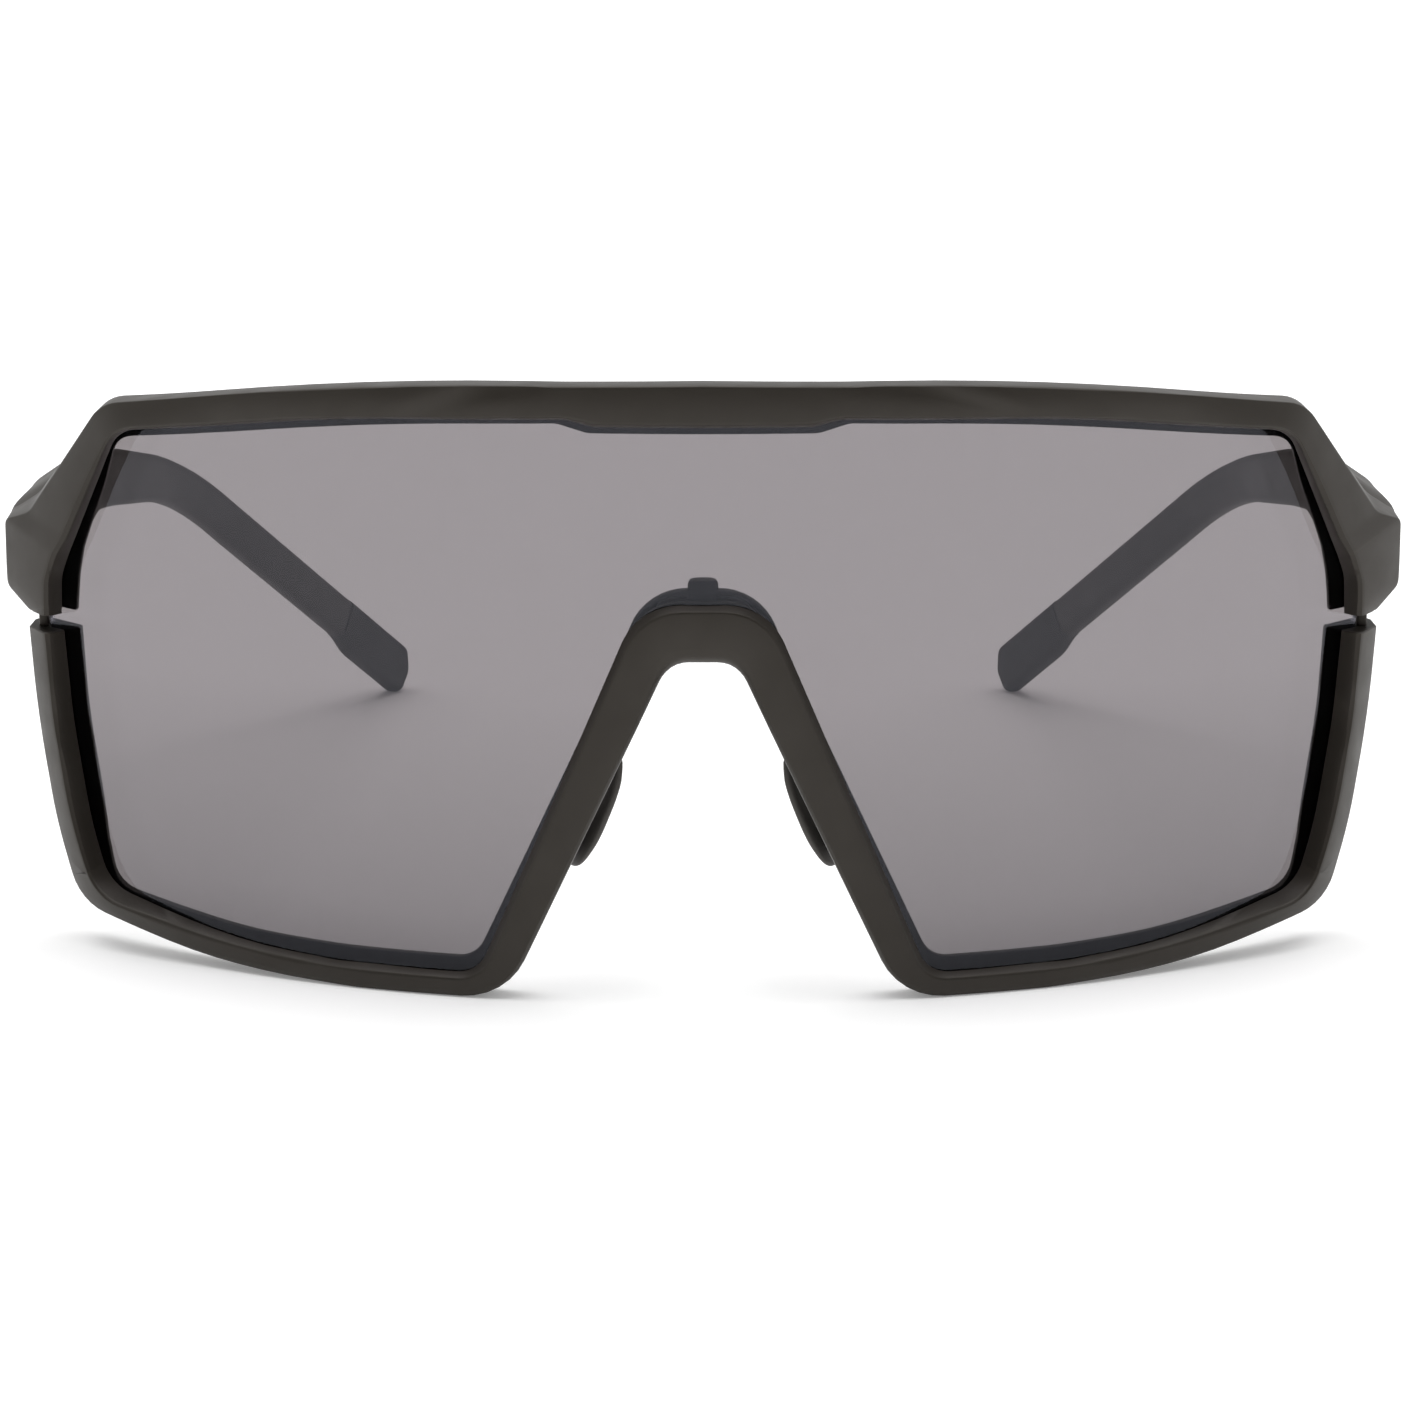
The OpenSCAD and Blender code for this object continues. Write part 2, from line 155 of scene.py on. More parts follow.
def tube(rings):
    """Vertices and faces of a solid skinned over closed sections, with both ends shut."""
    n = len(rings[0])
    vertices = [p for r in rings for p in r]
    faces = [
        (i * n + k, i * n + (k + 1) % n, (i + 1) * n + (k + 1) % n, (i + 1) * n + k)
        for i in range(len(rings) - 1)
        for k in range(n)
    ]
    faces.append(tuple(reversed(range(n))))
    faces.append(tuple(range((len(rings) - 1) * n, len(rings) * n)))
    return vertices, faces


def both_halves(rings):
    """Sections from one end to the middle, carried on to the other end."""
    return rings + [flipped(r) for r in reversed(rings[:-1])]


# Points nearer than this, in metres, become one.
SHORTEST_EDGE = 2e-6


def make(name, parts, body, material, nodes=(), sharp=32, side=1):
    """Turns closed parts in millimetres into one object that rides on a body."""
    vertices, faces = [], []
    for part_vertices, part_faces in parts:
        base = len(vertices)
        vertices += [Vector((p.x * side, p.y, p.z)) * MM for p in part_vertices]
        faces += [tuple(base + i for i in f) for f in part_faces]
    mesh = bpy.data.meshes.new(name)
    mesh.from_pydata(vertices, [], faces)
    shape = bmesh.new()
    shape.from_mesh(mesh)
    bmesh.ops.remove_doubles(shape, verts=shape.verts, dist=SHORTEST_EDGE)
    bmesh.ops.dissolve_degenerate(shape, edges=shape.edges, dist=SHORTEST_EDGE)
    bmesh.ops.recalc_face_normals(shape, faces=shape.faces)
    shape.to_mesh(mesh)
    shape.free()
    obj = bpy.data.objects.new(name, mesh)
    bpy.context.scene.collection.objects.link(obj)
    mesh.shade_smooth()
    mesh.set_sharp_from_angle(angle=math.radians(sharp))
    mesh.materials.append(material)
    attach(obj, body)
    if nodes:
        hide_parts(*nodes)
    return obj


# ---------- finishes ----------
def new_material(name):
    """A material with its nodes and links."""
    material = bpy.data.materials.new(name)
    material.use_nodes = True
    return material, material.node_tree.nodes, material.node_tree.links


def noise(nodes, links, scale, detail=2.0):
    """A noise texture in object space."""
    coordinates = nodes.new("ShaderNodeTexCoord")
    texture = nodes.new("ShaderNodeTexNoise")
    texture.inputs["Scale"].default_value = scale
    texture.inputs["Detail"].default_value = detail
    links.new(coordinates.outputs["Object"], texture.inputs["Vector"])
    return texture


def spread(nodes, links, source, low, high):
    """Maps a 0 to 1 texture onto a range."""
    node = nodes.new("ShaderNodeMapRange")
    node.inputs["From Min"].default_value = 0.3
    node.inputs["From Max"].default_value = 0.7
    node.inputs["To Min"].default_value = low
    node.inputs["To Max"].default_value = high
    links.new(source, node.inputs["Value"])
    return node.outputs["Result"]


def maths(nodes, links, operation, *inputs):
    """A math node fed with sockets or numbers."""
    node = nodes.new("ShaderNodeMath")
    node.operation = operation
    for socket, value in zip(node.inputs, inputs):
        if isinstance(value, (int, float)):
            socket.default_value = value
        else:
            links.new(value, socket)
    return node.outputs["Value"]


def surface(name, colour, roughness, grain, depth, metallic=0.0, wear=0.0, stretch=None):
    """A moulded, rubber or metal finish: cloudy colour and roughness, a fine grain, and rubbed edges."""
    material, nodes, links = new_material(name)
    shader = nodes["Principled BSDF"]
    shader.inputs["Metallic"].default_value = metallic
    if not metallic:
        shader.inputs["Specular IOR Level"].default_value = 0.42
        shader.inputs["Specular Tint"].default_value = (1.0, 0.94, 0.88, 1)
    cloud = noise(nodes, links, 90.0, 3.0)
    tone = nodes.new("ShaderNodeMix")
    tone.data_type = "RGBA"
    tone.inputs["A"].default_value = (*[c * 0.9 for c in colour], 1)
    tone.inputs["B"].default_value = (*[c * 1.1 for c in colour], 1)
    links.new(cloud.outputs["Fac"], tone.inputs["Factor"])
    colour_out = tone.outputs["Result"]
    if wear:
        edges = nodes.new("ShaderNodeNewGeometry")
        rub = nodes.new("ShaderNodeMapRange")
        rub.inputs["From Min"].default_value = 0.52
        rub.inputs["From Max"].default_value = 0.62
        rub.inputs["To Max"].default_value = wear
        links.new(edges.outputs["Pointiness"], rub.inputs["Value"])
        worn = nodes.new("ShaderNodeMix")
        worn.data_type = "RGBA"
        worn.inputs["B"].default_value = (*[min(1.0, c * 2.2) for c in colour], 1)
        links.new(rub.outputs["Result"], worn.inputs["Factor"])
        links.new(colour_out, worn.inputs["A"])
        colour_out = worn.outputs["Result"]
    links.new(colour_out, shader.inputs["Base Color"])
    smear = noise(nodes, links, 260.0, 4.0)
    links.new(
        spread(nodes, links, smear.outputs["Fac"], roughness - 0.05, roughness + 0.05),
        shader.inputs["Roughness"],
    )
    fine = noise(nodes, links, grain, 1.0)
    if stretch:
        mapping = nodes.new("ShaderNodeMapping")
        mapping.inputs["Scale"].default_value = stretch
        coordinates = nodes.new("ShaderNodeTexCoord")
        links.new(coordinates.outputs["Object"], mapping.inputs["Vector"])
        links.new(mapping.outputs["Vector"], fine.inputs["Vector"])
    bump = nodes.new("ShaderNodeBump")
    bump.inputs["Strength"].default_value = depth
    bump.inputs["Distance"].default_value = 0.00003
    links.new(fine.outputs["Fac"], bump.inputs["Height"])
    links.new(bump.outputs["Normal"], shader.inputs["Normal"])
    return material


def tinted_lens():
    """A clear tint that lets straight light through, under a polished coat with faint smears."""
    material, nodes, links = new_material("smoke_lens")
    nodes.remove(nodes["Principled BSDF"])
    output = nodes["Material Output"]
    tint = nodes.new("ShaderNodeBsdfTransparent")
    # The tint darkens towards the lens's bottom: painted shade for the floor's shadow behind the lens.
    place = nodes.new("ShaderNodeTexCoord")
    height = nodes.new("ShaderNodeSeparateXYZ")
    links.new(place.outputs["Object"], height.inputs["Vector"])
    shade = nodes.new("ShaderNodeMapRange")
    shade.inputs["From Min"].default_value = PAINTED_SHADOW_HEIGHTS[0]
    shade.inputs["From Max"].default_value = PAINTED_SHADOW_HEIGHTS[1]
    links.new(height.outputs["Z"], shade.inputs["Value"])
    painted_shadow_fade = nodes.new("ShaderNodeMix")
    painted_shadow_fade.data_type = "RGBA"
    painted_shadow_fade.inputs["A"].default_value = (*[c * PAINTED_SHADOW_SHARE for c in LENS_TINT], 1)
    painted_shadow_fade.inputs["B"].default_value = (*LENS_TINT, 1)
    links.new(shade.outputs["Result"], painted_shadow_fade.inputs["Factor"])
    links.new(painted_shadow_fade.outputs["Result"], tint.inputs["Color"])
    gloss = nodes.new("ShaderNodeBsdfGlossy")
    gloss.inputs["Color"].default_value = (*LENS_GLOSS, 1)
    smear = noise(nodes, links, 60.0, 5.0)
    links.new(spread(nodes, links, smear.outputs["Fac"], 0.02, 0.05), gloss.inputs["Roughness"])
    facing = nodes.new("ShaderNodeNewGeometry")
    cosine = nodes.new("ShaderNodeVectorMath")
    cosine.operation = "DOT_PRODUCT"
    links.new(facing.outputs["Normal"], cosine.inputs[0])
    links.new(facing.outputs["Incoming"], cosine.inputs[1])
    straight = maths(nodes, links, "ABSOLUTE", cosine.outputs["Value"])
    grazing = maths(nodes, links, "SUBTRACT", 1.0, straight)
    power = maths(nodes, links, "POWER", grazing, 5.0)
    coat = maths(nodes, links, "MULTIPLY_ADD", power, 0.96, 0.04)
    mix = nodes.new("ShaderNodeMixShader")
    links.new(coat, mix.inputs["Fac"])
    links.new(tint.outputs["BSDF"], mix.inputs[1])
    links.new(gloss.outputs["BSDF"], mix.inputs[2])
    links.new(mix.outputs["Shader"], output.inputs["Surface"])
    return material


LENS_TINT = (0.476, 0.455, 0.461)
LENS_GLOSS = (0.60, 0.62, 0.70)
# The tint is deeper at the bottom as painted shade for the floor's shadow seen through the lens: its share
# there, and the heights in metres between which it fades.
PAINTED_SHADOW_SHARE = 0.85
PAINTED_SHADOW_HEIGHTS = (0.004, 0.030)
frame_plastic = surface("frame_plastic", (0.0180, 0.0148, 0.0112), 0.46, 8000.0, 0.05, wear=0.25)
nose_rubber = surface("nose_rubber", (0.020, 0.0195, 0.0195), 0.62, 8000.0, 0.1)
# The pads' rubber is lighter than the saddle's: painted light on pads whose faces turn away from the lamps.
pad_rubber_painted_light = surface("pad_rubber_painted_light", (0.062, 0.058, 0.054), 0.58, 8000.0, 0.1)
tip_rubber = surface("tip_rubber", (0.019, 0.0185, 0.0175), 0.66, 8000.0, 0.1)
brushed_steel = surface(
    "brushed_steel", (0.56, 0.56, 0.57), 0.3, 900.0, 0.5, metallic=1.0, stretch=(1, 1, 0.06)
)
lens_material = tinted_lens()

# ---------- front frames ----------
# Each table is one edge of a frame in the front view, in the same order of corners, so that
# the edges can be joined section by section. The sections start at the split at the side.


def frame_section(outer, bevel, lip, seat, rear, back, edge, lift, brow=0.75):
    """One section through a frame: outer wall, back, rear lip, lens groove, front lip, bevel and face."""
    crown = smooth((bevel.x - CROWN_FROM) / CROWN_OVER)
    return ring(
        [(on_cylinder(outer, R_FRONT - 0.12 + lift * crown), brow)]
        + back
        + [
            (on_cylinder(rear, R_BACK), 0.35),
            (on_cylinder(rear, R_SEAT_BACK), 0.12),
            (on_cylinder(seat, R_SEAT_BACK), 0.08),
            (on_cylinder(seat, R_SEAT_FRONT), 0.08),
            (on_cylinder(lip, R_SEAT_FRONT), 0.12),
            (on_cylinder(bevel, R_FRONT + CROWN * crown), edge),
        ]
    )


def shrunk(section, amount, pull):
    """A section drawn in towards its middle and moved along, to round off an end."""
    middle = sum(section, Vector()) / len(section)
    return [p + (middle - p).normalized() * amount + pull for p in section]


LOWER_OUTER = [
    (70, 32.3), (69.3, 23, 120), (67.3, 12, 50), (64.8, 4.2, 5), (47, 0.4, 90),
    (36, 0, 90), (19.5, 0, 7), (3.4, 34.1, 3.2), (0, 34.1),
]
LOWER_BEVEL = [
    (67.6, 32.3), (67.0, 23.8, 60), (65.0, 12, 50), (62.5, 5.6, 4.8), (47, 2.6, 90),
    (36, 1.95, 90), (21.9, 1.95, 3.6), (5.9, 39.4, 6.0), (0, 39.4),
]
LOWER_LIP = [
    (65.9, 32.3), (65.2, 24, 60), (63.3, 12.3, 50), (61.3, 6.6, 4.3), (47, 3.1, 90),
    (36, 2.5, 90), (22.4, 2.5, 3.2), (6.3, 39.95, 6.0), (0, 39.95),
]
LOWER_SEAT = [
    (67.8, 32.3), (66.0, 22.6, 60), (64.3, 11.5, 30), (62.8, 5.2, 5), (47, 1.75, 90),
    (36, 1.5, 90), (21.0, 1.25, 2.6), (4.4, 39.0, 1.9), (0, 39.0),
]
LOWER_REAR = [
    (65.0, 32.3), (64.5, 24, 60), (62.6, 12.3, 50), (61.0, 5.7, 3.2), (47, 3.75, 90),
    (36, 3.3, 90), (22.6, 3.35, 2.8), (5.6, 39.8, 5.4), (0, 39.8),
]
UPPER_OUTER = [
    (69.4, 34.2), (69.75, 34.2, 0.8), (72.5, 36.4, 1.2), (72.5, 43.3, 0.9), (69.5, 44.5, 2.6),
    (60.6, 56.9, 4.5), (33, 61.05, 220), (13.4, 61.2, 0), (10.4, 61.25, 0), (0, 61.4),
]
UPPER_BEVEL = [
    (67.55, 34.2), (67.55, 35.4, 0), (67.4, 38.2, 5), (66.3, 40.8, 0), (65.0, 42.7, 0),
    (59.2, 54.45, 4), (36, 57.6, 150), (13.5, 58.2, 2.5), (10.2, 57.6, 3), (0, 57.6),
]
UPPER_LIP = [
    (66.15, 34.2), (66.1, 35.4, 0), (66.0, 38.2, 5), (65.15, 40.4, 0), (64.25, 42.4, 0),
    (59.0, 54.1, 3.5), (36, 57.25, 150), (13.3, 57.85, 2.5), (10.6, 57.15, 3), (0, 57.15),
]
UPPER_SEAT = [
    (67.9, 34.2), (67.9, 35.4, 0), (67.9, 38.6, 5), (67.3, 41.0, 0), (66.3, 43.3, 0),
    (60.1, 55.9, 4.5), (33, 59.8, 200), (13.4, 59.9, 0), (10.4, 59.9, 0), (0, 59.9),
]
UPPER_REAR = [
    (65.4, 34.2), (65.3, 35.6, 0), (65.0, 38.2, 6), (64.4, 40.9, 0), (63.7, 42.8, 0),
    (59.6, 53.0, 3), (33, 56.6, 200), (14.2, 57.15, 2.5), (11.2, 56.25, 2.5), (0, 56.25),
]


# The rear lip reaches this much further in at the sides than its table says.
REAR_STEP = 0.5


def lower_sections():
    """The left half of the lower frame, from the split at the side to the middle of the bridge."""
    edges = [curve(e) for e in (LOWER_OUTER, LOWER_BEVEL, LOWER_LIP, LOWER_SEAT, LOWER_REAR)]
    sections = []
    for outer, bevel, lip, seat, rear in zip(*edges):
        side = smooth((outer.y - 4) / 12) * smooth((outer.x - 40) / 20)
        rear = rear - Vector((REAR_STEP * side, 0))
        back = [(on_cylinder(outer, R_BACK), 0.6 + side)]
        # The bridge's lower edge is rounded off more, so that it reads as a scoop.
        scoop = smooth((outer.y - 29) / 4) * (1 - smooth((outer.x - 2.5) / 3))
        sections.append(
            frame_section(outer, bevel, lip, seat, rear, back, 0.35 + 0.4 * side, 0.0, 0.75 + 1.1 * scoop)
        )
    end = sections[0]
    up = Vector((0, 0, 0.12))
    return [shrunk(end, 0.18, up)] + sections


# The hinge block's inner side, and how much higher its back edge is than its front edge.
BLOCK_X = 66.3
BLOCK_RISE = 0.85


def upper_sections():
    """The left half of the upper frame, from the split at the side to the middle of the brow."""
    edges = [curve(e) for e in (UPPER_OUTER, UPPER_BEVEL, UPPER_LIP, UPPER_SEAT, UPPER_REAR)]
    sections = []
    for outer, bevel, lip, seat, rear in zip(*edges):
        side = smooth((58 - outer.y) / 8)
        rear = rear - Vector((REAR_STEP * side, 0))
        block = smooth((50.5 - outer.y) / 3.5)
        rise = BLOCK_RISE * smooth((outer.y - 41.2) / 1.6) * block
        rise *= 1 - 0.5 * smooth((outer.x - 69.5) / 2.5)
        inside = Vector((min(BLOCK_X, outer.x - 1.2), 34.2 + (lip.y - 34.2) * 1.244))
        inside = rear.lerp(outer, 0.4).lerp(inside, block)
        corner = on_cylinder(outer, R_BACK)
        corner = corner.lerp(Vector((outer.x, Y_SEAM, outer.y + rise)), block)
        foot = on_cylinder(inside, R_BACK)
        shoulder = foot.lerp(Vector((inside.x, Y_SEAM, inside.y + rise)), block)
        shoulder.x += (1 - block) * 0.8
        back = [(corner, 0.6 - 0.5 * block), (shoulder, 0.1), (foot, 0.2)]
        chamfer = smooth((38.5 - outer.y) / 2) * smooth((outer.x - 68) / 2)
        brow = 0.3 + 0.45 * side + 0.7 * chamfer
        sections.append(frame_section(outer, bevel, lip, seat, rear, back, 0.35 + 0.35 * side, 0.6, brow))
    end = sections[0]
    return [shrunk(end, 0.15, Vector((0, 0, -0.06)))] + sections


def bar(low, high, radius):
    """A small upright bar with rounded corners."""
    rings = []
    for z, inset in ((low[2], 0.15), (low[2] + 0.1, 0.0), (high[2] - 0.1, 0.0), (high[2], 0.15)):
        x0, x1 = low[0] + inset, high[0] - inset
        y0, y1 = low[1] + inset, high[1] - inset
        corners = [(x0, y0), (x1, y0), (x1, y1), (x0, y1)]
        rings.append(ring([(Vector((x, y, z)), radius) for x, y in corners]))
    return tube(rings)


def clip_posts():
    """The two posts on which the upper frame sits."""
    low = (67.95, Y_LENS + 29, 30)
    high = (68.95, Y_LENS + 32.2, 36)
    vertices, faces = bar(low, high, 0.2)
    return [(vertices, faces), (flipped(vertices), faces)]


make(
    "lower_frame_shell", [tube(both_halves(lower_sections()))] + clip_posts(),
    "lower", frame_plastic, ["lower_frame"],
)
make(
    "upper_frame_shell", [tube(both_halves(upper_sections()))],
    "front", frame_plastic, ["upper_frame"],
)

# ---------- lens ----------
LENS_UPPER = [
    (0, 59.6), (33, 59.6, 250), (59.2, 55.5, 5), (64.4, 47.2, 30), (67.7, 39.2, 12), (67.7, 36),
]
LENS_LOWER = [
    (0, 38.9), (4.5, 38.9, 1.8), (21.1, 1.4, 2.6), (47, 1.9, 110), (62.6, 5.4, 5), (64, 11.5, 30),
    (65.6, 22, 60), (67.7, 33.3, 6), (67.7, 36),
]
LENS_ROWS = 8
LENS_EDGE_X = 67.69


def lens_parts():
    """Upright strips of the cylinder between the lens's lower and upper edges, front and back."""
    upper = [tuple(p) for p in curve(LENS_UPPER, 10, 12)]
    lower = [tuple(p) for p in curve(LENS_LOWER, 10, 12)]
    xs = sorted({round(p[0], 3) for p in upper + lower if p[0] < LENS_EDGE_X})
    xs = [x for i, x in enumerate(xs) if i == 0 or x - xs[i - 1] > 0.02] + [LENS_EDGE_X]
    xs = [-x for x in reversed(xs[1:])] + xs
    vertices = []
    for radius in (R_LENS_FRONT, R_LENS_BACK):
        for x in xs:
            low, high = line_at(lower, abs(x)), line_at(upper, abs(x))
            for k in range(LENS_ROWS + 1):
                z = low + (high - low) * k / LENS_ROWS
                vertices.append(on_cylinder(Vector((x, z)), radius))
    rows, count = LENS_ROWS + 1, len(xs)
    faces = []

    def at(face, column, row):
        return (face * count + column) * rows + row

    for c in range(count - 1):
        for r in range(LENS_ROWS):
            for face in (0, 1):
                faces.append((at(face, c, r), at(face, c + 1, r), at(face, c + 1, r + 1), at(face, c, r + 1)))
        for r in (0, LENS_ROWS):
            faces.append((at(0, c, r), at(0, c + 1, r), at(1, c + 1, r), at(1, c, r)))
    for c in (0, count - 1):
        for r in range(LENS_ROWS):
            faces.append((at(0, c, r), at(0, c, r + 1), at(1, c, r + 1), at(1, c, r)))
    return [(vertices, faces)]


make("lens_shield", lens_parts(), "lens", lens_material, ["shield_lens"], sharp=40)

# ---------- nose piece ----------
SADDLE_OUTER = [(16.1, 14.6), (5.6, 40.8, 6.0), (0, 40.8)]
SADDLE_INNER = [(13.3, 14.6), (3.6, 35.2, 3), (0, 35.2)]
R_SADDLE_FRONT = 91.75
R_SADDLE_BACK = 89.95
# A groove round the saddle's front: how far its two walls lie below the outer edge, and its floor.
GROOVE = (0.5, 1.0)
R_GROOVE = 90.9
PIVOT = Vector(JOINTS["left_pad_adjust"]["pos_m"]) / MM
PAD_TILT = math.radians(24)
PAD_SPLAY = math.radians(24)
PAD_T = 1.9


def saddle_sections():
    """The left half of the saddle, from its foot to the middle."""
    sections = []
    for outer, inner in zip(curve(SADDLE_OUTER, 8, 14), curve(SADDLE_INNER, 8, 14)):
        inwards = (inner - outer).normalized()
        above, below = outer + inwards * GROOVE[0], outer + inwards * GROOVE[1]
        sections.append(ring([
            (on_cylinder(outer, R_SADDLE_FRONT), 0.2),
            (on_cylinder(outer, R_SADDLE_BACK), 0.6),
            (on_cylinder(inner, R_SADDLE_BACK), 0.6),
            (on_cylinder(inner, R_SADDLE_FRONT), 0.5),
            (on_cylinder(below, R_SADDLE_FRONT), 0.05),
            (on_cylinder(below, R_GROOVE), 0.05),
            (on_cylinder(above, R_GROOVE), 0.05),
            (on_cylinder(above, R_SADDLE_FRONT), 0.05),
        ]))
    down = Vector((0.1, 0, -0.3))
    end = sections[0]
    return [shrunk(end, 0.6, down), shrunk(end, 0.25, down * 0.7)] + sections


def finger_tab():
    """The tab on top of the saddle."""
    rings = []
    for z, inset in ((39.2, 0.0), (41.2, 0.0), (41.65, 0.2), (41.8, 0.6)):
        wide = 1.5 - inset
        front, rear = R_SADDLE_FRONT - inset * 0.5, R_SADDLE_BACK + inset * 0.5
        corners = [(-wide, front), (wide, front), (wide, rear), (-wide, rear)]
        rings.append(ring([(on_cylinder(Vector((x, z)), r), 0.4) for x, r in corners]))
    return tube(rings)


def at_pivot(point):
    """A point of the pivot's own frame (thickness, depth, height) in the row frame."""
    return PIVOT + Matrix.Rotation(-PAD_TILT, 3, "Y") @ Vector(point)


def pad_knuckle():
    """The rubber eye that holds the pad's pin, joined to the saddle by a web."""
    rings = []
    for z, inset in ((-1.8, 0.25), (-1.6, 0.0), (1.6, 0.0), (1.8, 0.25)):
        outline = [(1.2, -2.4), (1.2, 0.3), (0.6, 1.15), (-0.6, 1.15), (-1.2, 0.3), (-1.2, -2.4)]
        k = 1 - inset / 1.2
        rings.append(ring([(at_pivot((x * k, y * k, z)), 0.4) for x, y in outline]))
    return tube(rings)


# The front edge of a pad as (height, x), how far it lies behind the lens, and its width.
PAD_FRONT = [
    (12, 11.5), (12.9, 11.3), (13.6, 11.1), (15.1, 10.5), (17.2, 9.7), (19.1, 8.95), (21, 8.3), (23, 7.9),
    (25.2, 7.9),
]
PAD_FRONT_Y = 4.6
PAD_CHORD = 10.0


def nose_pad():
    """A soft leaf behind the frame: its front edge follows a curve, and it opens towards the face."""
    rings = []
    steps, around = 30, 32
    low, high = PAD_FRONT[0][0], PAD_FRONT[-1][0]
    opening = Vector((math.sin(PAD_SPLAY), math.cos(PAD_SPLAY), 0))
    across = Vector((opening.y, -opening.x, 0))
    for i in range(steps + 1):
        t = -0.998 * math.cos(math.pi * i / steps)
        z = (low + high) / 2 + t * (high - low) / 2
        rim = (1 - abs(t) ** 2.6) ** (1 / 2.2)
        wide = PAD_CHORD / 2 * rim
        thick = PAD_T / 2 * (1 - abs(t) ** 4) ** 0.5
        front = Vector((line_at(PAD_FRONT, z), Y_LENS + PAD_FRONT_Y, z))
        middle = front + opening * (PAD_CHORD / 2 - (1 - rim) * 1.2)
        section = []
        for k in range(around):
            a = 2 * math.pi * k / around
            c, d = math.cos(a), math.sin(a)
            y = wide * math.copysign(abs(c) ** 0.9, c)
            x = thick * math.copysign(abs(d) ** 0.8, d)
            section.append(middle + opening * y + across * x)
        rings.append(section)
    return tube(rings)


# The pad's pin: its radius, half the ears' width, and how far the ears reach towards the leaf.
PIN_R = 0.55
EAR_WIDE = 0.85
EAR_DEEP = 1.9


def pad_pin():
    """The steel pin through the eye, with two ears that reach into the leaf."""
    leafwards = Vector((-math.cos(PAD_SPLAY), math.sin(PAD_SPLAY)))
    beside = Vector((-leafwards.y, leafwards.x))
    turns = [2 * math.pi * k / 20 for k in range(20)]
    pin = [
        [at_pivot((PIN_R * k * math.cos(a), PIN_R * k * math.sin(a), z)) for a in turns]
        for z, k in ((-3.1, 0.8), (-2.95, 1.0), (2.95, 1.0), (3.1, 0.8))
    ]
    parts = [tube(pin)]
    outline = ((-EAR_WIDE, -EAR_WIDE), (EAR_DEEP, -EAR_WIDE), (EAR_DEEP, EAR_WIDE), (-EAR_WIDE, EAR_WIDE))
    for low, high in ((-2.8, -2.1), (2.1, 2.8)):
        rings = []
        for z in (low, high):
            corners = [leafwards * t + beside * u for t, u in outline]
            rings.append(ring([(at_pivot((c.x, c.y, z)), 0.5) for c in corners]))
        parts.append(tube(rings))
    return parts


knuckle = pad_knuckle()
make(
    "nose_saddle",
    [tube(both_halves(saddle_sections())), finger_tab(), knuckle, (flipped(knuckle[0]), knuckle[1])],
    "nose_piece", nose_rubber, ["nose_carrier"],
)
for side, name in ((1, "left"), (-1, "right")):
    make(
        f"{name}_pad_leaf", [nose_pad()], f"{name}_pad", pad_rubber_painted_light,
        [f"{name}_nose_pad"], sharp=60, side=side,
    )
    make(
        f"{name}_pad_pin", pad_pin(), f"{name}_pad", brushed_steel,
        [f"{name}_pad_core"], side=side,
    )

# ---------- temples ----------
# Middle lines from the seam to the tip as (distance from the lens's foremost line, height or x, radius).
BEND_Y, BEND_Z, BEND_X = 98.8, 37.2, 63.5
DROP = math.radians(31.3)
TURN = math.radians(21.8)
# How far an arm reaches above and below its middle line, as (distance, length).
ABOVE = [(35.5, 5.9), (39.8, 6.0), (47, 5.7), (66, 3.4), (98.8, 2.65)]
BELOW = [(35.5, 5.1), (39.8, 6.0), (47, 5.7), (66, 3.4), (98.8, 2.65)]
# How far an arm's outer top corner lies below the inner one.
SHOULDER = [(35.5, 2.6), (41, 3.3), (50, 3.1), (66, 0.6), (98.8, 0)]
# Half of an arm's thickness, and its corner radii.
HALF_THICK = [(35.5, 2.6), (47, 2.3), (66, 1.85), (98.8, 1.3)]
TOP_OUTER_ROUND = [(35.5, 0.5), (41, 2.0), (52, 2.0), (66, 1.3), (98.8, 1.1)]
LOW_OUTER_ROUND = [(35.5, 1.6), (41, 2.2), (52, 1.8), (66, 1.2), (98.8, 1.1)]
INNER_ROUND = [(35.5, 0.6), (50, 1.0), (98.8, 1.1)]
# The sleeve's end: the radii of its top corner, foot and heel, and the chamfer's run and rise.
TIP_ROUND = 1.6
FOOT_ROUND = 0.9
HEEL_ROUND = 1.2
TIP_CHAMFER = (2.25, 2.4)
# The end face's top and low halves meet this far above the middle line, this far apart from it.
END_LIFT = 1.6
END_HALF = 0.2
# The sleeve's length along the temple, and the step on its lower edge.
SLEEVE = 19.0
STEP_DEPTH = 0.9
STEP_LENGTH = 4.5
SEAM_GAP = 0.14
# The pocket in an arm's inner side that clears the hinge barrels: its lowest and highest corners.
POCKET = ((60, 30, 30), (69.9, 39.6, 44.75))

end_y = Y_TIP - Y_LENS
beyond_y = end_y + 5
side_line = curve([
    (33.5, 39.75), (39.5, 41.4, 5), (47, 41.9, 20), (66, 42.6, 90), (BEND_Y, BEND_Z, 62),
    (beyond_y, BEND_Z - (beyond_y - BEND_Y) * math.tan(DROP)),
], 14, 10)
plan_line = curve([
    (33.5, 69.9), (47, 70, 60), (66, 68.75, 60), (BEND_Y, BEND_X, 120),
    (beyond_y, BEND_X - (beyond_y - BEND_Y) * math.tan(TURN)),
], 14, 10)


def temple_frame(y):
    """The middle of a temple at y, and the outward and upward directions of its section."""
    step = 0.3
    point = [Vector((line_at(plan_line, v), v, line_at(side_line, v))) for v in (y - step, y, y + step)]
    along = (point[2] - point[0]).normalized()
    square = 1 - smooth((y - 35.5) / 6)
    along = along.lerp(Vector((0, 1, 0)), square).normalized()
    out = Vector((along.y, -along.x, 0)).normalized()
    return point[1], out, out.cross(along)


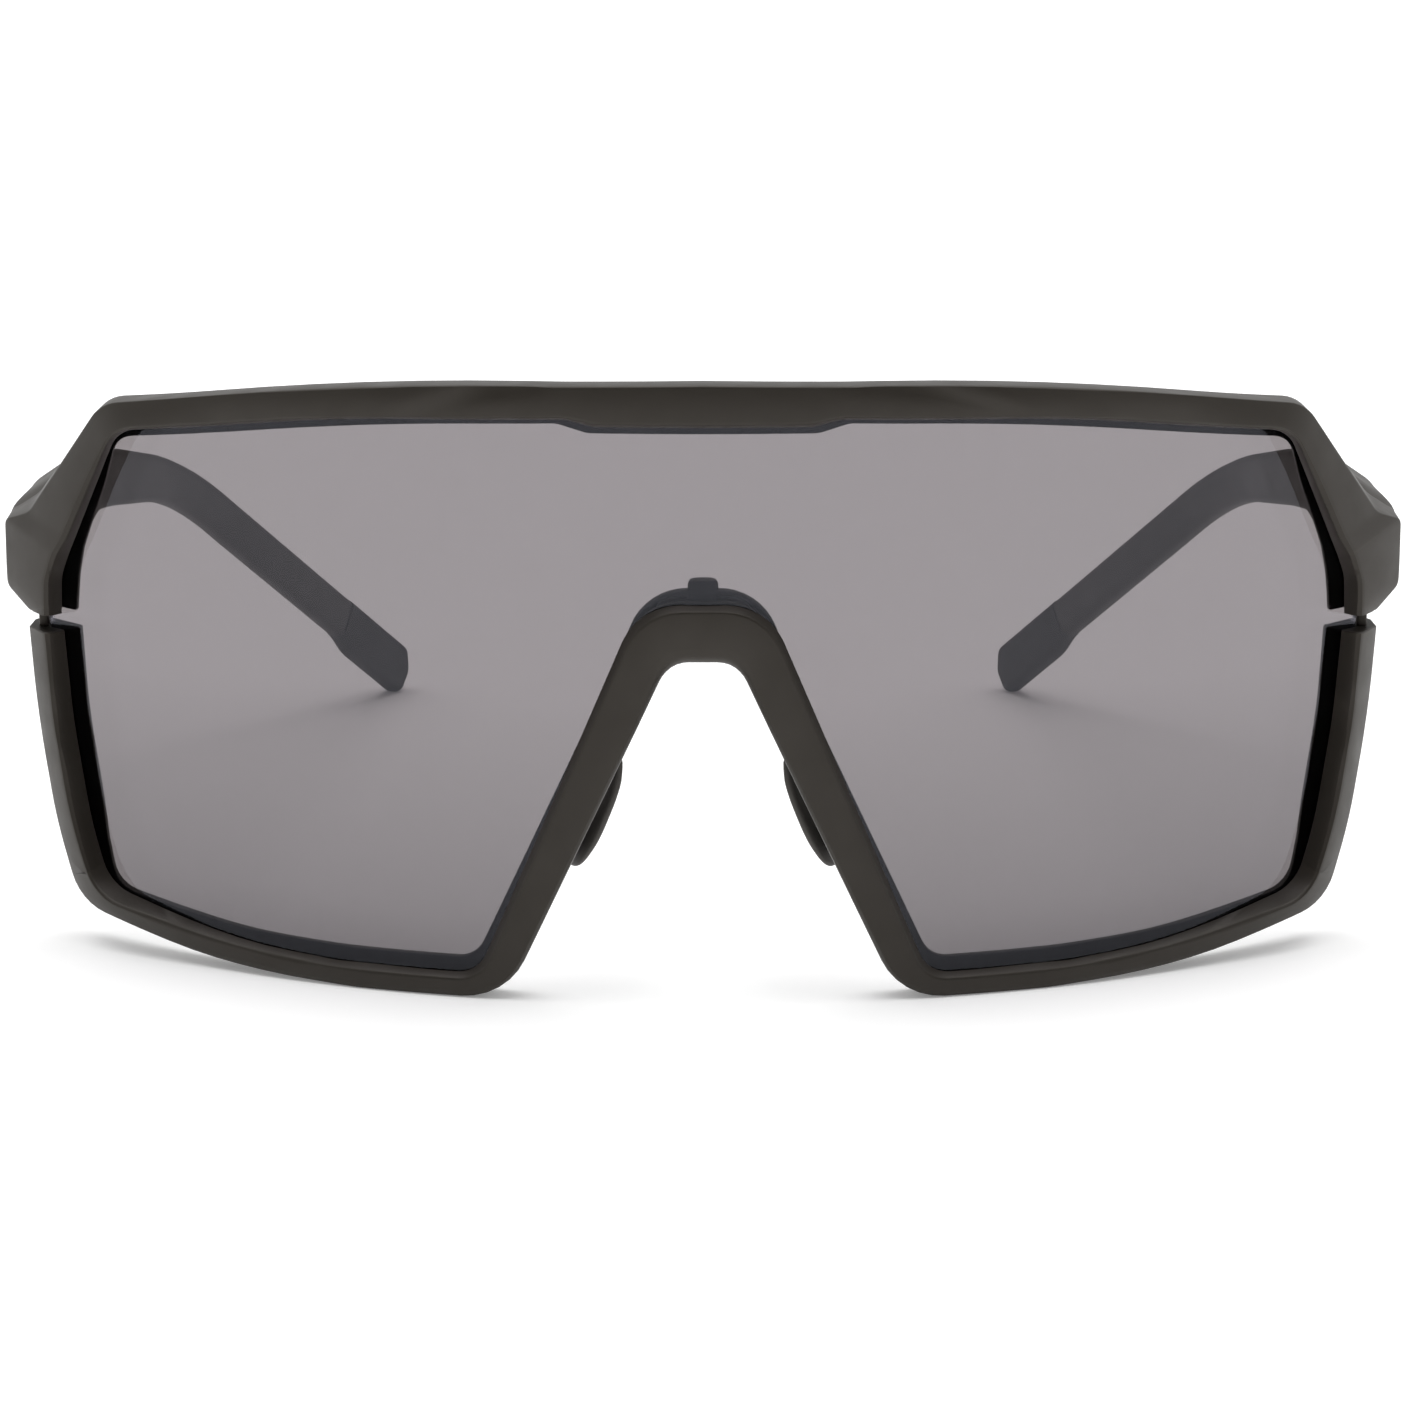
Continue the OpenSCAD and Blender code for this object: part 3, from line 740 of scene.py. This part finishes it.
def temple_section(y, inset=0.0):
    """A section with a sloping, rounded shoulder outside. inset shrinks it."""
    middle, out, up = temple_frame(y)
    thick = value_at(HALF_THICK, y) - inset
    above, below = value_at(ABOVE, y) - inset, value_at(BELOW, y) - inset
    return ring([
        (middle + out * thick + up * (above - value_at(SHOULDER, y)), value_at(TOP_OUTER_ROUND, y)),
        (middle - out * thick + up * above, value_at(INNER_ROUND, y)),
        (middle - out * thick - up * below, value_at(INNER_ROUND, y)),
        (middle + out * thick - up * below, value_at(LOW_OUTER_ROUND, y)),
    ], 6, 0.78)


def arm_part():
    """The arm from the seam to the sleeve, slightly rounded at the seam."""
    start = Y_SEAM - Y_LENS + SEAM_GAP
    stop = end_y - SLEEVE * math.cos(DROP)
    count = 90
    rings = [temple_section(start + (stop - start) * k / count) for k in range(count + 1)]
    return [temple_section(start, 0.04)] + rings


def carved(obj, low, high, side):
    """Cuts a box, given in millimetres from the lens's foremost line, out of an object."""
    spans = list(zip(low, high))
    corners = [(x, y + Y_LENS, z) for x in spans[0] for y in spans[1] for z in spans[2]]
    faces = [(0, 1, 3, 2), (4, 6, 7, 5), (0, 4, 5, 1), (2, 3, 7, 6), (0, 2, 6, 4), (1, 5, 7, 3)]
    mesh = bpy.data.meshes.new("cutter")
    mesh.from_pydata([Vector((x * side, y, z)) * MM for x, y, z in corners], [], faces)
    if side < 0:
        mesh.flip_normals()
    cutter = bpy.data.objects.new("cutter", mesh)
    bpy.context.scene.collection.objects.link(cutter)
    modifier = obj.modifiers.new("pocket", "BOOLEAN")
    modifier.operation = "DIFFERENCE"
    modifier.solver = "EXACT"
    modifier.object = cutter
    shaped = bpy.data.meshes.new_from_object(obj.evaluated_get(bpy.context.evaluated_depsgraph_get()))
    obj.modifiers.clear()
    obj.data = shaped
    shaped.shade_smooth()
    shaped.set_sharp_from_angle(angle=math.radians(32))
    bpy.data.objects.remove(cutter)


def tip_edge(height, step=0.0):
    """Side view of one edge of the sleeve, at a height above the middle line, with its end face."""
    def line_z(y):
        return BEND_Z - (y - BEND_Y) * math.tan(DROP) + height / math.cos(DROP)

    y = end_y - SLEEVE * math.cos(DROP) + height * math.sin(DROP)
    middle_z = BEND_Z - (end_y - BEND_Y) * math.tan(DROP) + END_LIFT + math.copysign(END_HALF, height)
    turn_y = end_y - TIP_CHAMFER[0]
    foot_z = line_z(turn_y)
    corner = (end_y, line_z(end_y), TIP_ROUND) if height > 0 else (end_y, foot_z + TIP_CHAMFER[1], HEEL_ROUND)
    first = curve([(y, line_z(y)), (y + 0.1, line_z(y + 0.1), 0), (y + 0.2, line_z(y + 0.2))], 1, 1)[:2]
    points = first + curve(
        [
            (y + 0.2, line_z(y + 0.2)), (turn_y, foot_z, 0 if height > 0 else FOOT_ROUND),
            corner, (end_y, middle_z),
        ], 8, 16
    )
    if step:
        rise = step / math.cos(DROP)
        run = STEP_LENGTH * math.cos(DROP)
        points = [Vector((p.x, p.y + rise * (1 - smooth((p.x - y) / run)))) for p in points]
    return points


def sleeve_part():
    """The rubber sleeve, with a step on its lower edge and an upright end with round corners."""
    high = value_at(ABOVE, end_y)
    wide = value_at(HALF_THICK, end_y) + 0.1
    round_off = 0.6
    out = Vector((math.cos(TURN), math.sin(TURN), 0))
    rings = []
    for i, (top, low) in enumerate(zip(tip_edge(high), tip_edge(-high - STEP_DEPTH, STEP_DEPTH))):
        thick = wide - 0.2 * (i == 0)
        left = min(end_y - top.x, end_y - low.x, round_off)
        thick -= round_off - math.sqrt(round_off**2 - (round_off - max(left, 0)) ** 2)
        upper = Vector((line_at(plan_line, top.x), top.x, top.y))
        lower = Vector((line_at(plan_line, low.x), low.x, low.y))
        rings.append(ring([
            (upper + out * thick, 1.1), (upper - out * thick, 1.1),
            (lower - out * thick, 1.1), (lower + out * thick, 1.1),
        ], 6))
    return rings


def on_row(rings):
    """Moves sections from the lens's own y to the row frame."""
    return [[p + Vector((0, Y_LENS, 0)) for p in r] for r in rings]


for side, name in ((1, "left"), (-1, "right")):
    body = f"{name}_temple"
    arm = make(
        f"{name}_arm_shell", [tube(on_row(arm_part()))], body, frame_plastic,
        [f"{name}_temple_arm"], side=side,
    )
    carved(arm, *POCKET, side)
    make(
        f"{name}_tip_sleeve", [tube(on_row(sleeve_part()))], body, tip_rubber,
        [f"{name}_temple_tip"], side=side,
    )

# ---------- steel parts, shown as the CAD made them ----------
for node, obj in frame["nodes"].items():
    if obj.hide_render:
        continue
    obj.data.materials.clear()
    obj.data.materials.append(brushed_steel)
    obj.data.shade_smooth()
    obj.data.set_sharp_from_angle(angle=math.radians(32))

# ---------- floor, light and camera ----------
scene = bpy.context.scene
scene.view_settings.view_transform = "Standard"
scene.view_settings.look = "None"

FLOOR = 6.0
# Light given off by the floor, which keeps faint shadows white.
FLOOR_GLOW = 0.2
floor_mesh = bpy.data.meshes.new("floor")
floor_mesh.from_pydata(
    [(-FLOOR, -FLOOR, 0), (FLOOR, -FLOOR, 0), (FLOOR, FLOOR, 0), (-FLOOR, FLOOR, 0)], [], [(0, 1, 2, 3)]
)
floor = bpy.data.objects.new("floor", floor_mesh)
scene.collection.objects.link(floor)
floor_material, floor_nodes, _ = new_material("paper")
paper = floor_nodes["Principled BSDF"].inputs
paper["Base Color"].default_value = (0.93, 0.93, 0.93, 1)
paper["Roughness"].default_value = 0.9
paper["Specular IOR Level"].default_value = 0.1
paper["Emission Color"].default_value = (1, 1, 1, 1)
paper["Emission Strength"].default_value = FLOOR_GLOW
floor_mesh.materials.append(floor_material)

world = bpy.data.worlds.new("studio")
world.use_nodes = True
scene.world = world
sky_nodes, sky_links = world.node_tree.nodes, world.node_tree.links
background = sky_nodes["Background"]
direction = sky_nodes.new("ShaderNodeTexCoord")
split = sky_nodes.new("ShaderNodeSeparateXYZ")
towards_back = sky_nodes.new("ShaderNodeMapRange")
towards_back.interpolation_type = "SMOOTHSTEP"
towards_back.inputs["From Min"].default_value = -1.0
towards_back.inputs["From Max"].default_value = 0.3
towards_back.inputs["To Min"].default_value = 0.12
towards_back.inputs["To Max"].default_value = 0.85
sky_links.new(direction.outputs["Generated"], split.inputs["Vector"])
sky_links.new(split.outputs["Y"], towards_back.inputs["Value"])
seen = sky_nodes.new("ShaderNodeLightPath")
shown = sky_nodes.new("ShaderNodeMix")
shown.inputs["B"].default_value = 1.0
sky_links.new(seen.outputs["Is Camera Ray"], shown.inputs["Factor"])
sky_links.new(towards_back.outputs["Result"], shown.inputs["A"])
sky_links.new(shown.outputs["Result"], background.inputs["Strength"])
background.inputs["Color"].default_value = (1, 1, 1, 1)

sun_data = bpy.data.lights.new("overhead", "SUN")
sun_data.energy = 2.1
sun_data.angle = math.radians(60)
sun = bpy.data.objects.new("overhead", sun_data)
scene.collection.objects.link(sun)
sun.rotation_euler = (math.radians(-5), 0, 0)

camera_data = bpy.data.cameras.new("camera")
camera = bpy.data.objects.new("camera", camera_data)
scene.collection.objects.link(camera)
scene.camera = camera
CAMERA_BACK = 0.4
CAMERA_UP = 0.1132
CAMERA_PITCH = math.radians(11.718)
camera.location = (0, Y_LENS * MM - CAMERA_BACK, CAMERA_UP)
camera.rotation_euler = (math.pi / 2 - CAMERA_PITCH, 0, 0)
camera_data.lens = 107.6
camera_data.sensor_width = 36
camera_data.clip_start = 0.01
